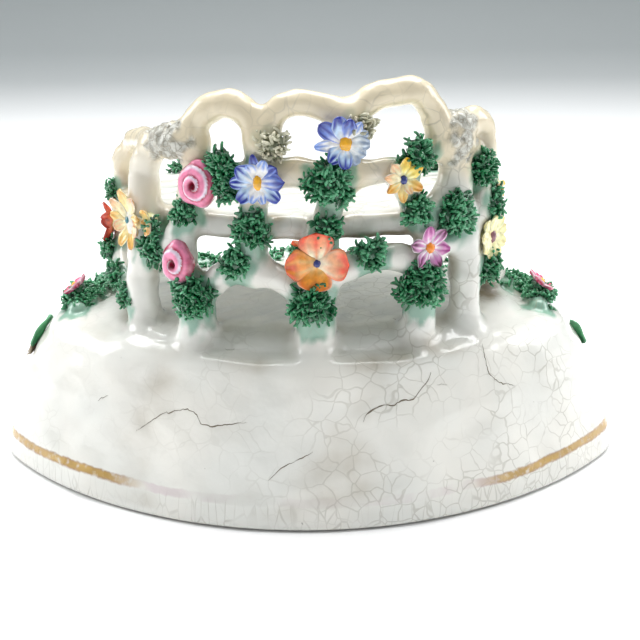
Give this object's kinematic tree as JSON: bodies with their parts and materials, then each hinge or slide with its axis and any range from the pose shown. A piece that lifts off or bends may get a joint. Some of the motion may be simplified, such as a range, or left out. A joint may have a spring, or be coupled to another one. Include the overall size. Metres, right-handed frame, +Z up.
{
  "type": "porcelain garden bower figure",
  "caption": "Porcelain garden bower: an oval mound carries a curved openwork arcade of round arches round a bench, dressed with applied flowers, leaves and moss.",
  "frame": {"origin": "middle of the flat underside, on the surface the bower stands on", "axes": "+Z up, +X along the oval base, -Y towards the outer side of the arcade, so the bench opens towards +Y"},
  "size_m": [0.14, 0.0796, 0.0843],
  "materials": {
    "glaze": "clear lead glaze, finely crazed",
    "flower_enamel": "painted enamels over the glaze",
    "moss_enamel": "green enamel on sieved clay"
  },
  "bodies": {
    "root": {"porcelain_bower": "glaze"}
  },
  "joints": []
}
